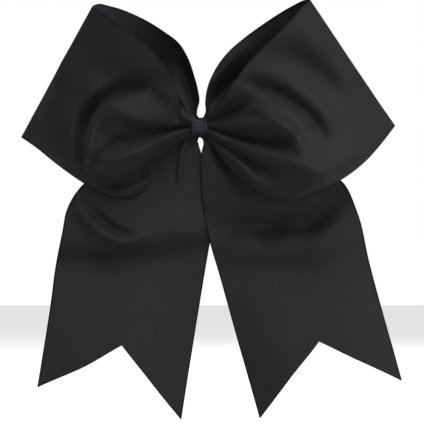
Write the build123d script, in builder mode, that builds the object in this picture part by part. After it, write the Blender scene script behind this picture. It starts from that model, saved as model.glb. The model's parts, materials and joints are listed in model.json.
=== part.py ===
from build123d import *
from itertools import pairwise
import os

# Cheer hair bow: wide grosgrain ribbon folded into two open loops and two
# swallow-tailed tails, gathered in the middle, bound with thread, wrapped with a
# narrow ribbon and glued to a sprung two-jaw alligator clip.
# Millimetres. Seen from the front, which faces -Y, +X is to the right and +Z is up.
# "Left" pieces lie at -X. The origin is the middle of the gathered knot.

# ------------------------------------------------------- shared dimensions
RIBBON_T = 0.8             # ribbon thickness
KNOT_HALF_X = 5.6          # gathered core before its sides are trimmed
KNOT_HALF_Y = 4.2
KNOT_HALF_Z = 3.0
KNOT_CORNER_R = 1.4
THREAD_R = 0.26            # binding thread radius
BOUND_HALF_Y = KNOT_HALF_Y + 2 * THREAD_R    # core with one layer of thread
BOUND_HALF_Z = KNOT_HALF_Z + 2 * THREAD_R
LOOP_PIVOT_X = 7.2         # each loop flexes about a vertical line here
LOOP_NOSE_R = 2.4          # pinched end of each loop
LOOP_NOSE_HALF_Z = 3.0

PLATE_T = 0.6              # clip sheet steel
JAW_Y = 6.2                # front face of the fixed jaw
JAW_BACK_Y = JAW_Y + PLATE_T
CLIP_TAIL_X = -25.0        # finger end of the fixed jaw
CLIP_TIP_X = 24.0          # nose of the fixed jaw
PIVOT_X, PIVOT_Y = -11.0, 9.0
PIN_R = 0.8
EAR_OUT = 4.0              # outer face of the fixed ears
EAR_GAP = 0.1              # between fixed and moving ears
EAR_IN = EAR_OUT - PLATE_T - EAR_GAP         # outer face of the moving ears
LINING_T = 0.45

os.makedirs("parts", exist_ok=True)


def save(builder, name):
    builder.part.label = name
    export_step(builder.part, f"parts/{name}.step")


# ---------------------------------------------------------- ribbon sections
def panel_sections(stations, last_ahead=None):
    """Plane and width at each line across a ribbon panel.

    Each plane's X runs across the ribbon and its normal runs along it. last_ahead
    sets the direction of the last section.
    """
    ends = [(Vector(*start), Vector(*end)) for start, end in stations]
    mids = [(start + end) * 0.5 for start, end in ends]
    last = len(ends) - 1
    sections = []
    for i, (start, end) in enumerate(ends):
        ahead = mids[min(i + 1, last)] - mids[max(i - 1, 0)]
        if i == last and last_ahead is not None:
            ahead = last_ahead
        across = (end - start).normalized()
        along = (ahead - across * ahead.dot(across)).normalized()
        plane = Plane(origin=mids[i], x_dir=across, z_dir=along)
        sections.append((plane, (end - start).length))
    return sections


# -------------------------------------------------------------------- loops
# Each loop is one band of straight lines across the ribbon: from the pinch out
# along the bowed front, round the outer fold and back along the flatter rear.
# Columns: top selvedge (x, y, z), bottom selvedge (x, y, z).
LEFT_BAND = [
    ((-7.4, -1.1, 2.4), (-7.4, -1.1, -2.4)),
    ((-12.5, -8.5, 15.5), (-16.0, -4.0, -12.0)),
    ((-15.5, -20.0, 27.5), (-29.0, -5.0, -30.0)),
    ((-20.5, -28.5, 34.0), (-44.0, -4.0, -34.5)),
    ((-34.5, -22.0, 46.0), (-64.5, -2.0, -24.0)),
    ((-51.0, -0.3, 59.5), (-88.2, 0.4, -5.4)),
    ((-53.2, 1.4, 61.0), (-90.4, 2.2, -4.6)),
    ((-51.0, 3.1, 59.5), (-88.2, 4.0, -5.4)),
    ((-35.5, 6.2, 57.0), (-75.0, 4.8, -10.0)),
    ((-18.0, 7.6, 47.0), (-57.0, 5.0, -12.0)),
    ((-6.2, 6.4, 31.0), (-37.0, 4.6, -9.5)),
    ((-5.0, 3.8, 14.5), (-16.5, 3.4, -5.5)),
    ((-7.0, 1.0, 2.2), (-7.0, 1.0, -2.2)),
]
RIGHT_BAND = [
    ((7.4, -1.1, 2.4), (7.4, -1.1, -2.4)),
    ((13.0, -8.5, 15.5), (16.5, -4.0, -12.5)),
    ((18.5, -19.5, 28.0), (28.5, -5.0, -29.5)),
    ((27.0, -26.5, 38.0), (46.0, -4.0, -36.0)),
    ((40.0, -20.0, 50.0), (70.5, -2.0, -26.5)),
    ((52.6, -0.3, 61.5), (96.3, 0.4, 0.0)),
    ((54.8, 1.4, 63.0), (98.5, 2.2, 1.0)),
    ((52.6, 3.1, 61.5), (96.3, 4.0, 0.0)),
    ((38.5, 6.2, 56.5), (81.0, 4.8, -5.5)),
    ((22.5, 7.6, 46.5), (61.0, 5.0, -10.0)),
    ((8.8, 6.4, 31.5), (39.0, 4.6, -8.5)),
    ((5.2, 3.8, 14.5), (17.0, 3.4, -5.5)),
    ((7.0, 1.0, 2.2), (7.0, 1.0, -2.2)),
]


def build_loop(name, band, pivot_x):
    with BuildPart() as loop:
        # one short loft between each pair of neighbouring lines
        for (near_plane, near_width), (far_plane, far_width) in pairwise(panel_sections(band)):
            with BuildSketch(near_plane):
                Rectangle(near_width, RIBBON_T)
            with BuildSketch(far_plane):
                Rectangle(far_width, RIBBON_T)
            loft(ruled=True)
        # pinched end, round about the line the loop flexes on
        with BuildSketch(Plane.XY.offset(-LOOP_NOSE_HALF_Z)):
            with Locations((pivot_x, 0)):
                Circle(LOOP_NOSE_R)
        extrude(amount=2 * LOOP_NOSE_HALF_Z)
    save(loop, name)


build_loop("left_loop", LEFT_BAND, -LOOP_PIVOT_X)
build_loop("right_loop", RIGHT_BAND, LOOP_PIVOT_X)

# -------------------------------------------------------------------- tails
# The upper part of each tail fans out from the knot behind the loops; the flat
# free end hangs from a straight bend line across the ribbon.
LEFT_TAIL_Y = 12.0                   # mid-thickness of the left free end
RIGHT_TAIL_Y = LEFT_TAIL_Y - 1.6     # the right tail hangs in front of the left one
TAIL_GAP = 0.55                      # gap left above each bend line
TAIL_ROOT_T = 1.2                    # gathered ribbon thickness at the knot

# Lines across the upper tails, from the knot down.
# Columns: outer edge (x, y, z), inner edge (x, y, z).
LEFT_FAN = [
    ((-9.6, 1.6, -4.6), (-2.2, 1.6, -4.9)),
    ((-33.0, 6.5, -14.0), (1.5, 6.5, -19.0)),
    ((-60.2, 11.2, -27.5), (8.5, 11.0, -38.0)),
]
RIGHT_FAN = [
    ((9.6, 0.2, -4.6), (2.2, 0.2, -4.9)),
    ((34.0, 3.8, -13.0), (0.9, 3.8, -19.0)),
    ((66.0, 8.6, -24.0), (1.2, 8.2, -38.0)),
]
# Free-end outlines (x, z): outer bend, outer tip, notch apex, inner tip, inner bend.
LEFT_END = [(-70.7, -56.8), (-82.6, -132.0), (-42.1, -109.6), (-9.6, -148.0), (3.4, -68.7)]
RIGHT_END = [(79.8, -44.2), (102.5, -128.6), (59.0, -108.8), (30.2, -147.6), (7.3, -63.8)]


def build_tail(side_name, fan, outline, tail_y):
    bend_outer = Vector(outline[0][0], tail_y, outline[0][1])
    bend_inner = Vector(outline[-1][0], tail_y, outline[-1][1])
    bend_length = (bend_inner - bend_outer).length
    across = (bend_inner - bend_outer).normalized()
    down = Vector(across.Z, 0, -across.X)
    if down.Z > 0:
        down = down * -1

    lift = down * -TAIL_GAP
    fan_end = tuple(bend_outer + lift), tuple(bend_inner + lift)
    with BuildPart() as upper:
        for i, (plane, width) in enumerate(panel_sections(fan + [fan_end], down)):
            with BuildSketch(plane):
                Rectangle(width, TAIL_ROOT_T if i == 0 else RIBBON_T)
        loft(ruled=True)
    save(upper, f"{side_name}_tail_upper")

    with BuildPart() as free_end:
        with BuildSketch(Plane.XZ.offset(-(tail_y + RIBBON_T / 2))):
            with BuildLine():
                Polyline(*outline, close=True)
            make_face()
        extrude(amount=RIBBON_T)
        # top edge rounded about the bend line
        with BuildSketch(Plane(origin=bend_outer, z_dir=across)):
            Circle(RIBBON_T / 2)
        extrude(amount=bend_length)
    save(free_end, f"{side_name}_tail_end")


build_tail("left", LEFT_FAN, LEFT_END, LEFT_TAIL_Y)
build_tail("right", RIGHT_FAN, RIGHT_END, RIGHT_TAIL_Y)

# --------------------------------------------------------------------- knot
POCKET_CLEAR = 0.15        # round a loop's pinched end
CORE_TRIM_X = 4.6          # where the core's sides are cut flat
CORE_TRIM_W = 6.4
CORE_CUT_H = 20.0          # height of the cutters, well past the core


def build_gathered_core():
    """Ribbon layers pinched into one bundle between the loops' pinched ends."""
    trim_mid_x = CORE_TRIM_X + CORE_TRIM_W / 2
    with BuildPart() as core:
        with BuildSketch(Plane.YZ.offset(-KNOT_HALF_X)):
            RectangleRounded(2 * KNOT_HALF_Y, 2 * KNOT_HALF_Z, KNOT_CORNER_R)
        extrude(amount=2 * KNOT_HALF_X)
        with BuildSketch(Plane.XY.offset(-CORE_CUT_H / 2)):
            with Locations((-LOOP_PIVOT_X, 0), (LOOP_PIVOT_X, 0)):
                Circle(LOOP_NOSE_R + POCKET_CLEAR)
        extrude(amount=CORE_CUT_H, mode=Mode.SUBTRACT)
        # the flanges left beside the pockets are trimmed away
        with BuildSketch(Plane.XY.offset(-CORE_CUT_H / 2)):
            with Locations((-trim_mid_x, 0), (trim_mid_x, 0)):
                Rectangle(CORE_TRIM_W, CORE_CUT_H)
        extrude(amount=CORE_CUT_H, mode=Mode.SUBTRACT)
    save(core, "gathered_core")


THREAD_TURNS = 6
THREAD_PITCH = 0.62
THREAD_CLEAR = 0.02        # between the core and the thread


def build_binding_thread():
    """Thread turns round the core, each a closed ring with a rounded section."""
    grow = THREAD_CLEAR + 2 * THREAD_R
    with BuildPart() as thread:
        for turn in range(THREAD_TURNS):
            x = (turn - (THREAD_TURNS - 1) / 2) * THREAD_PITCH
            with BuildSketch(Plane.YZ.offset(x - THREAD_R)):
                RectangleRounded(
                    2 * (KNOT_HALF_Y + grow), 2 * (KNOT_HALF_Z + grow), KNOT_CORNER_R + grow
                )
                RectangleRounded(
                    2 * (KNOT_HALF_Y + THREAD_CLEAR),
                    2 * (KNOT_HALF_Z + THREAD_CLEAR),
                    KNOT_CORNER_R + THREAD_CLEAR,
                    mode=Mode.SUBTRACT,
                )
            extrude(amount=2 * THREAD_R)
        fillet(thread.edges().filter_by(Axis.X, reverse=True), 0.8 * THREAD_R)
    save(thread, "binding_thread")


WRAP_HALF_W = 3.7
WRAP_T = 0.45
WRAP_CLEAR = 0.08          # between the thread and the wrap
WRAP_BACK_CLEAR = 0.03     # between the fixed jaw and the wrap
WRAP_OUT_R, WRAP_IN_R = 0.75, 0.3
LAP_H = 4.4                # lapped end on the back
LAP_MID_Z = 0.4
LAP_SINK = 0.02            # overlap of the lapped end into the wrap
LAP_CORNER_R = 0.2


def build_centre_wrap():
    """Narrow ribbon round the core and the fixed jaw, lapped on the back."""
    front = -(BOUND_HALF_Y + WRAP_CLEAR)
    back = JAW_BACK_Y + WRAP_BACK_CLEAR
    depth = back - front
    half_z = BOUND_HALF_Z + WRAP_CLEAR
    with BuildPart() as wrap:
        with BuildSketch(Plane.YZ.offset(-WRAP_HALF_W)):
            with Locations(((front + back) / 2, 0)):
                RectangleRounded(depth + 2 * WRAP_T, 2 * (half_z + WRAP_T), WRAP_OUT_R)
                RectangleRounded(depth, 2 * half_z, WRAP_IN_R, mode=Mode.SUBTRACT)
        extrude(amount=2 * WRAP_HALF_W)
        with BuildSketch(Plane.YZ.offset(-WRAP_HALF_W)):
            with Locations((back + 1.5 * WRAP_T - LAP_SINK, LAP_MID_Z)):
                RectangleRounded(WRAP_T, LAP_H, LAP_CORNER_R)
        extrude(amount=2 * WRAP_HALF_W)
    save(wrap, "centre_wrap")


GLUE_L, GLUE_H = 11.0, 4.6
GLUE_FRONT_CLEAR, GLUE_BACK_CLEAR = 0.06, 0.02
GLUE_FILLET_R = 0.3


def build_glue_pad():
    """Hot-melt pad between the bound core and the lined jaw."""
    front = BOUND_HALF_Y + GLUE_FRONT_CLEAR
    back = JAW_Y - LINING_T - GLUE_BACK_CLEAR
    with BuildPart() as pad:
        with BuildSketch(Plane.XZ.offset(-front)):
            SlotOverall(GLUE_L, GLUE_H)
        extrude(amount=-(back - front))
        fillet(pad.edges().group_by(Axis.Y)[-1], GLUE_FILLET_R)
    save(pad, "glue_pad")


build_gathered_core()
build_binding_thread()
build_centre_wrap()
build_glue_pad()

# --------------------------------------------------------------------- jaws
FINGER_HALF_Z = 4.4        # half width of both finger ends


def jaw_outline(tail_x, tip_x, waist, tip):
    """Outline (x, z) of a jaw; waist and tip are half widths at the ears and nose."""
    half = [
        (tail_x, FINGER_HALF_Z - 1.2), (tail_x + 1.2, FINGER_HALF_Z),
        (-16.5, FINGER_HALF_Z), (-14.6, waist), (-5.0, waist),
        (-3.6, 3.0), (8.0, 3.0), (tip_x - 1.4, tip), (tip_x, tip - 1.2),
    ]
    return half + [(x, -z) for x, z in reversed(half)]


def ear_bottoms(outer_z):
    """Lower faces of the two ears whose outer faces are at -outer_z and +outer_z."""
    return -outer_z, outer_z - PLATE_T


FIXED_TIP_HALF_Z = 2.5
FIXED_EAR_R = 2.0
FIXED_EAR_W = 5.6          # base of each ear
FIXED_EAR_ROOT_Y = JAW_Y + 0.2
RIB_X = -20.0              # raised rib on the back of the finger end
RIB_L, RIB_W, RIB_H = 5.0, 1.2, 0.25


def build_fixed_jaw():
    with BuildPart() as jaw:
        with BuildSketch(Plane.XZ.offset(-JAW_Y)):
            with BuildLine():
                Polyline(
                    *jaw_outline(CLIP_TAIL_X, CLIP_TIP_X, EAR_OUT, FIXED_TIP_HALF_Z), close=True
                )
            make_face()
        extrude(amount=-PLATE_T)
        # pivot ears folded back from both sides
        for ear_z in ear_bottoms(EAR_OUT):
            with BuildSketch(Plane.XY.offset(ear_z)):
                with Locations((PIVOT_X, PIVOT_Y)):
                    Circle(FIXED_EAR_R)
                with Locations((PIVOT_X, (PIVOT_Y + FIXED_EAR_ROOT_Y) / 2)):
                    Rectangle(FIXED_EAR_W, PIVOT_Y - FIXED_EAR_ROOT_Y)
                with Locations((PIVOT_X, PIVOT_Y)):
                    Circle(PIN_R, mode=Mode.SUBTRACT)
            extrude(amount=PLATE_T)
        with BuildSketch(Plane.XZ.offset(-JAW_BACK_Y)):
            with Locations((RIB_X, 0)):
                SlotOverall(RIB_L, RIB_W)
        extrude(amount=-RIB_H)
    save(jaw, "clip_fixed_jaw")


MOVING_TAIL_X, MOVING_TIP_X = -25.8, 24.3
MOVING_TIP_HALF_Z = 2.4
# Bent sheet centreline (x, y): finger lever, bridge over the pivot, bowed nose.
LEVER_END = (-25.4, 16.1)
BRIDGE_START, BRIDGE_END = (-13.9, 10.98), (-8.4, 10.8)
NOSE_Y = 8.45
NOSE_CURVE = [BRIDGE_END, (2.0, 9.9), (14.0, 8.75), (CLIP_TIP_X, NOSE_Y)]
SHEET_BLANK_W = 10.0       # sheet width before it is cut to the outline
OUTLINE_Y, OUTLINE_DEPTH = 4.0, 14.0         # outline prism that cuts the sheet
MOVING_EAR_R = 1.7
MOVING_EAR_H = 1.9         # from the pivot back to the bridge
PIN_HOLE_CLEAR = 0.05
COMB_T = 0.6
TOOTH_COUNT = 5
TOOTH_PITCH = 0.8
TOOTH_ROOT_Y, TOOTH_TIP_Y = 7.9, 7.32


def build_moving_jaw():
    comb_half_z = TOOTH_COUNT * TOOTH_PITCH / 2
    comb = [(NOSE_Y, -comb_half_z), (TOOTH_ROOT_Y, -comb_half_z)]     # (y, z)
    for tooth in range(TOOTH_COUNT):
        z = -comb_half_z + TOOTH_PITCH * tooth
        comb += [(TOOTH_TIP_Y, z + TOOTH_PITCH / 2), (TOOTH_ROOT_Y, z + TOOTH_PITCH)]
    comb += [(NOSE_Y, comb_half_z)]

    with BuildPart() as jaw:
        with BuildSketch(Plane.XY.offset(-SHEET_BLANK_W / 2)):
            with BuildLine():
                Polyline(LEVER_END, BRIDGE_START)
                Line(BRIDGE_START, BRIDGE_END)
                Spline(*NOSE_CURVE, tangents=[(1, -0.05), (1, 0.0)])
            trace(line_width=PLATE_T)
        extrude(amount=SHEET_BLANK_W)
        with BuildSketch(Plane.XZ.offset(-OUTLINE_Y)):
            with BuildLine():
                Polyline(
                    *jaw_outline(MOVING_TAIL_X, MOVING_TIP_X, EAR_IN, MOVING_TIP_HALF_Z),
                    close=True,
                )
            make_face()
        extrude(amount=-OUTLINE_DEPTH, mode=Mode.INTERSECT)
        # inner ears with running holes for the pin
        for ear_z in ear_bottoms(EAR_IN):
            with BuildSketch(Plane.XY.offset(ear_z)):
                with Locations((PIVOT_X, PIVOT_Y)):
                    Circle(MOVING_EAR_R)
                with Locations((PIVOT_X, PIVOT_Y + MOVING_EAR_H / 2)):
                    Rectangle(2 * MOVING_EAR_R, MOVING_EAR_H)
                with Locations((PIVOT_X, PIVOT_Y)):
                    Circle(PIN_R + PIN_HOLE_CLEAR, mode=Mode.SUBTRACT)
            extrude(amount=PLATE_T)
        # tooth comb turned towards the fixed jaw at the nose
        with BuildSketch(Plane.YZ.offset(CLIP_TIP_X - COMB_T)):
            with BuildLine():
                Polyline(*comb, close=True)
            make_face()
        extrude(amount=COMB_T)
    save(jaw, "clip_moving_jaw")


build_fixed_jaw()
build_moving_jaw()

# ---------------------------------------------------- pin, spring and lining
PIN_OVERHANG = 0.05        # shank past each fixed ear, into the head
HEAD_R, HEAD_T = 1.25, 0.43
HEAD_GAP = 0.02            # between head and ear
HEAD_FILLET_R = 0.3


def build_hinge_pin():
    with BuildPart() as pin:
        with BuildSketch(Plane.XY.offset(-EAR_OUT - PIN_OVERHANG)):
            with Locations((PIVOT_X, PIVOT_Y)):
                Circle(PIN_R)
        extrude(amount=2 * (EAR_OUT + PIN_OVERHANG))
        for head_z in (-EAR_OUT - HEAD_GAP - HEAD_T, EAR_OUT + HEAD_GAP):
            with BuildSketch(Plane.XY.offset(head_z)):
                with Locations((PIVOT_X, PIVOT_Y)):
                    Circle(HEAD_R)
            extrude(amount=HEAD_T)
        for end in (0, -1):
            rims = pin.edges().filter_by(GeomType.CIRCLE).group_by(Axis.Z)[end]
            fillet(rims, HEAD_FILLET_R)
    save(pin, "clip_hinge_pin")


SPRING_WIRE_R = 0.2
SPRING_R = 1.15            # coil radius to the wire's middle
SPRING_TURNS = 6
SPRING_PITCH = 0.37
GROOVE_R = SPRING_R + 0.08         # bottom of the grooves between turns
GROOVE_HALF_W = 0.1
LEG_OVERRUN = 0.08         # each leg segment runs on past its end point
LEG_Z = SPRING_PITCH * (SPRING_TURNS - 1) / 2    # middle of the end turns
LEG_START_X = PIVOT_X + 0.2
LEG_START_R = SPRING_R - 0.02
SPRING_LEGS = [
    # front leg, along the back of the fixed jaw
    [
        (LEG_START_X, PIVOT_Y - LEG_START_R, -LEG_Z),
        (-20.0, JAW_BACK_Y + 0.27, -LEG_Z),
    ],
    # back leg, under the finger lever
    [
        (LEG_START_X, PIVOT_Y + LEG_START_R, LEG_Z),
        (-13.8, PIVOT_Y + SPRING_R + 0.12, LEG_Z),
        (-20.6, 13.25, LEG_Z),
    ],
]


def build_spring():
    """Torsion spring on the pin; the close coil is a sleeve grooved between turns."""
    half_h = SPRING_TURNS * SPRING_PITCH / 2
    inner_r, outer_r = SPRING_R - SPRING_WIRE_R, SPRING_R + SPRING_WIRE_R
    profile = [(inner_r, -half_h)]       # (radius, z)
    for turn in range(SPRING_TURNS):
        z = -half_h + turn * SPRING_PITCH
        profile += [
            (GROOVE_R, z),
            (outer_r, z + GROOVE_HALF_W),
            (outer_r, z + SPRING_PITCH - GROOVE_HALF_W),
        ]
    profile += [(GROOVE_R, half_h), (inner_r, half_h)]

    with BuildPart() as spring:
        with BuildSketch(Plane.XZ.offset(-PIVOT_Y)):
            with BuildLine():
                Polyline(*[(PIVOT_X + radius, z) for radius, z in profile], close=True)
            make_face()
        revolve(axis=Axis((PIVOT_X, PIVOT_Y, 0), (0, 0, 1)))
        for leg in SPRING_LEGS:
            for start, end in pairwise(leg):
                run = Vector(*end) - Vector(*start)
                with BuildSketch(Plane(origin=start, z_dir=run)):
                    Circle(SPRING_WIRE_R)
                extrude(amount=run.length + LEG_OVERRUN)
    save(spring, "clip_spring")


LINING_W = 4.6
LINING_TAIL_X = CLIP_TAIL_X + 1.0
LINING_TURN_X = 9.0        # where the turned-back end stops
LINING_FACE_GAP = 0.01     # to the jaw's front and back faces
LINING_NOSE_GAP = 0.02     # to the jaw's nose


def build_lining():
    """Ribbon on the front of the fixed jaw, turned round the nose and back behind it."""
    nose_in = CLIP_TIP_X + LINING_NOSE_GAP
    nose_out = nose_in + LINING_T
    front_in, front_out = JAW_Y - LINING_FACE_GAP, JAW_Y - LINING_T
    back_in, back_out = JAW_BACK_Y + LINING_FACE_GAP, JAW_BACK_Y + LINING_T
    with BuildPart() as lining:
        with BuildSketch(Plane.XY.offset(-LINING_W / 2)):
            with BuildLine():
                Polyline(
                    (LINING_TAIL_X, front_out), (nose_out, front_out), (nose_out, back_out),
                    (LINING_TURN_X, back_out), (LINING_TURN_X, back_in),
                    (nose_in, back_in), (nose_in, front_in), (LINING_TAIL_X, front_in),
                    close=True,
                )
            make_face()
        extrude(amount=LINING_W)
    save(lining, "clip_lining")


build_hinge_pin()
build_spring()
build_lining()
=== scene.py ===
"""Cheer hair bow: two ribbon loops and two notched tails held in a wrapped knot on a hair clip.

Lengths in the tables are millimetres in the CAD frame: +X right, -Y front, +Z up, origin in
the knot.
"""
import json
import math

import bmesh
import bpy
import numpy as np
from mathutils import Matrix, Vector


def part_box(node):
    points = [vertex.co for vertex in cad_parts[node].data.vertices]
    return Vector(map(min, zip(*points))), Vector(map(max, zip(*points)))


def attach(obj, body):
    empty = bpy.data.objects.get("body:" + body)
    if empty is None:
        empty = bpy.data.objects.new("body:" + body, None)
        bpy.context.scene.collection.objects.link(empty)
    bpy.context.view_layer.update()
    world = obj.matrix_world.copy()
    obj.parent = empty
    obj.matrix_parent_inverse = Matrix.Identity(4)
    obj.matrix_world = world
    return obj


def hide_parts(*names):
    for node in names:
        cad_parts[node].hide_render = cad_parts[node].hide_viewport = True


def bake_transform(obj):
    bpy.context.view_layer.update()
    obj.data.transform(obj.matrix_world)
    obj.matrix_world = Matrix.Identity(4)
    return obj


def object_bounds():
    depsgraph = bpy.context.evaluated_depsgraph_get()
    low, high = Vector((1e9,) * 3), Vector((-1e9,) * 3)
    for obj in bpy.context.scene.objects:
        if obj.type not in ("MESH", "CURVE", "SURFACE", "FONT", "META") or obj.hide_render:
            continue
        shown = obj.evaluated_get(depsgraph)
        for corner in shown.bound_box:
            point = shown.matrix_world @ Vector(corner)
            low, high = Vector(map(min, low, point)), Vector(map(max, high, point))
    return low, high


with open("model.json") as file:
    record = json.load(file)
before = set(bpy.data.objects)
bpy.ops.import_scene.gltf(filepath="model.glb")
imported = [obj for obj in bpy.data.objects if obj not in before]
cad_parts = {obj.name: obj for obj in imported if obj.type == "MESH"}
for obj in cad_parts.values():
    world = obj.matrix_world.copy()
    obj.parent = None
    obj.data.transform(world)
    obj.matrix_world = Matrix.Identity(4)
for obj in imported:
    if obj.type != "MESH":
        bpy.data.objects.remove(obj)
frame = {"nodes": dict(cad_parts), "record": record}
cad_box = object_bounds()

MM = 0.001
UV_MM = 100.0          # ribbon length that one UV unit covers
RIBBON_W = 75.0        # selvedge to selvedge
LOOP_LEN = 110.0       # ribbon from the knot to a loop's outer fold
THICK = 0.42
RIB_PITCH = 0.95
RIB_AMP = 0.075
ROWS_PER_RIB = 4
FOLD = 1.55            # how deep the creases are pressed
NET_S, NET_V = 56, 41  # net samples along a loop's half and across any ribbon

# ------------------------------------------------------------------ loop tables
# Rays: (place across the ribbon 0..1 from upper to lower selvedge,
#        [(x, y, z) from the knot to the outer fold]).
LEFT_FRONT = [
    (0.00, [(-2.5, -1.0, 3.0), (-7.8, -9.1, 8.8), (-10.9, -20.2, 16.4), (-13.9, -29.8, 26.0),
     (-21.5, -34.8, 35.6), (-32.1, -31.8, 45.2), (-43.2, -22.2, 53.3), (-50.2, -10.6, 58.3),
     (-53.8, 0.0, 61.4)]),
    (0.15, [(-2.5, -2.5, 2.8), (-8.3, -10.1, 7.3), (-13.9, -20.2, 13.9), (-21.0, -27.3, 22.0),
     (-29.5, -29.8, 30.0), (-39.6, -25.8, 37.1), (-49.7, -16.7, 44.2), (-55.8, -7.6, 48.7),
     (-59.3, 0.0, 51.4)]),
    (0.32, [(-2.5, -3.5, 2.0), (-9.3, -10.6, 5.6), (-16.9, -17.2, 10.4), (-26.0, -21.7, 15.9),
     (-36.6, -22.7, 22.0), (-47.2, -17.7, 26.5), (-55.3, -12.6, 32.6), (-61.4, -6.1, 36.6),
     (-65.5, 0.0, 40.2)]),
    (0.43, [(-2.5, -2.0, 1.3), (-9.8, -8.6, 3.5), (-18.4, -16.2, 5.8), (-28.5, -22.2, 8.3),
     (-39.6, -24.2, 11.9), (-50.2, -18.7, 17.9), (-58.3, -13.1, 25.5), (-64.9, -6.6, 30.0),
     (-69.5, 0.0, 33.2)]),
    (0.51, [(-2.5, -1.0, 0.8), (-10.9, -6.6, 1.3), (-19.9, -14.1, 1.3), (-30.0, -21.7, 1.8),
     (-41.2, -24.2, 5.3), (-51.3, -18.7, 12.9), (-60.3, -12.6, 18.9), (-67.9, -6.6, 23.5),
     (-72.4, 0.0, 27.7)]),
    (0.58, [(-2.5, -1.0, 0.3), (-11.4, -4.0, -0.8), (-21.0, -8.6, -3.3), (-31.1, -12.6, -5.8),
     (-40.7, -15.7, -6.1), (-49.7, -15.2, -2.3), (-60.3, -11.6, 10.4), (-69.4, -5.6, 19.4),
     (-75.0, 0.0, 23.0)]),
    (0.64, [(-2.5, -2.0, -0.3), (-11.9, -7.1, -2.0), (-21.5, -12.6, -6.3), (-31.6, -17.2, -9.8),
     (-41.7, -19.2, -12.9), (-52.3, -15.7, -10.4), (-62.9, -10.6, 3.3), (-71.5, -5.0, 13.4),
     (-77.2, 0.0, 19.0)]),
    (0.72, [(-2.5, -3.0, -0.5), (-12.4, -10.1, -3.5), (-22.0, -16.2, -8.8), (-32.1, -20.7, -13.1),
     (-43.7, -20.7, -16.7), (-55.3, -14.1, -13.4), (-64.9, -9.1, -2.3), (-73.5, -4.0, 5.8),
     (-80.1, 0.0, 13.7)]),
    (0.88, [(-2.5, 0.0, -1.8), (-12.4, -2.5, -6.6), (-18.9, -4.5, -12.4), (-24.0, -4.5, -18.4),
     (-31.6, -5.6, -25.5), (-44.2, -5.6, -26.5), (-56.3, -4.5, -21.0), (-69.4, -3.0, -10.9),
     (-86.0, 0.0, 3.1)]),
    (0.95, [(-2.5, 0.5, -2.5), (-12.4, 0.0, -8.1), (-18.4, 0.5, -14.4), (-23.0, 1.5, -21.0),
     (-30.0, 1.0, -30.0), (-43.2, -0.5, -32.1), (-54.3, -1.5, -28.5), (-70.4, -1.5, -16.4),
     (-88.4, 0.0, -1.3)]),
    (1.00, [(-1.8, 2.0, -4.0), (-5.0, 2.0, -4.3), (-12.4, 2.5, -9.3), (-18.4, 4.0, -15.4),
     (-23.2, 5.0, -23.5), (-30.0, 4.5, -33.1), (-41.2, 3.0, -35.6), (-51.3, 2.0, -32.3),
     (-60.3, 1.5, -27.0), (-73.0, -2.5, -17.9), (-83.1, -1.0, -9.8), (-90.4, 0.0, -4.8)]),
]
LEFT_BACK = [
    (0.00, [(1.0, 3.5, 5.0), (-0.9, 3.0, 5.5), (-1.8, 2.5, 7.6), (-0.1, 2.0, 13.4),
     (-0.8, 2.0, 18.9), (-2.8, 2.0, 26.5), (-5.8, 3.0, 35.1), (-10.9, 3.5, 43.2),
     (-17.4, 4.0, 48.2), (-30.0, 3.5, 55.8), (-45.2, 2.0, 61.4), (-51.8, 1.0, 62.4),
     (-53.8, 0.0, 61.4)]),
    (0.08, [(0.7, 1.5, 2.5), (-3.0, 9.1, 8.3), (-3.8, 12.6, 14.9), (-5.6, 14.1, 24.0),
     (-8.3, 13.1, 32.1), (-14.4, 10.6, 39.1), (-25.0, 8.1, 46.2), (-40.1, 4.5, 51.8),
     (-50.2, 2.5, 54.8), (-56.7, 0.0, 56.1)]),
    (0.20, [(-2.5, -1.0, 3.3), (-5.8, -2.5, 8.8), (-7.6, 0.0, 14.4), (-9.8, 7.1, 19.9),
     (-12.9, 14.1, 25.0), (-19.9, 16.2, 32.1), (-36.1, 10.1, 40.1), (-51.3, 4.5, 44.7),
     (-61.1, 0.0, 48.1)]),
    (0.50, [(-2.5, 0.0, 1.8), (-10.9, 4.0, 7.8), (-19.9, 9.1, 13.9), (-32.6, 11.1, 17.9),
     (-50.2, 8.6, 22.0), (-63.4, 4.0, 25.5), (-72.1, 0.0, 28.3)]),
    (0.80, [(-2.5, 0.0, 0.3), (-14.9, 3.0, 1.3), (-27.5, 5.0, 0.3), (-45.2, 6.6, -0.3),
     (-65.4, 5.0, 2.8), (-75.5, 2.5, 5.8), (-83.1, 0.0, 8.4)]),
    (1.00, [(-2.5, 0.0, -1.8), (-16.4, 3.0, -5.3), (-37.1, 4.5, -9.3), (-57.0, 5.0, -11.9),
     (-75.0, 3.5, -9.8), (-84.6, 1.5, -7.3), (-90.4, 0.0, -4.8)]),
]
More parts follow.
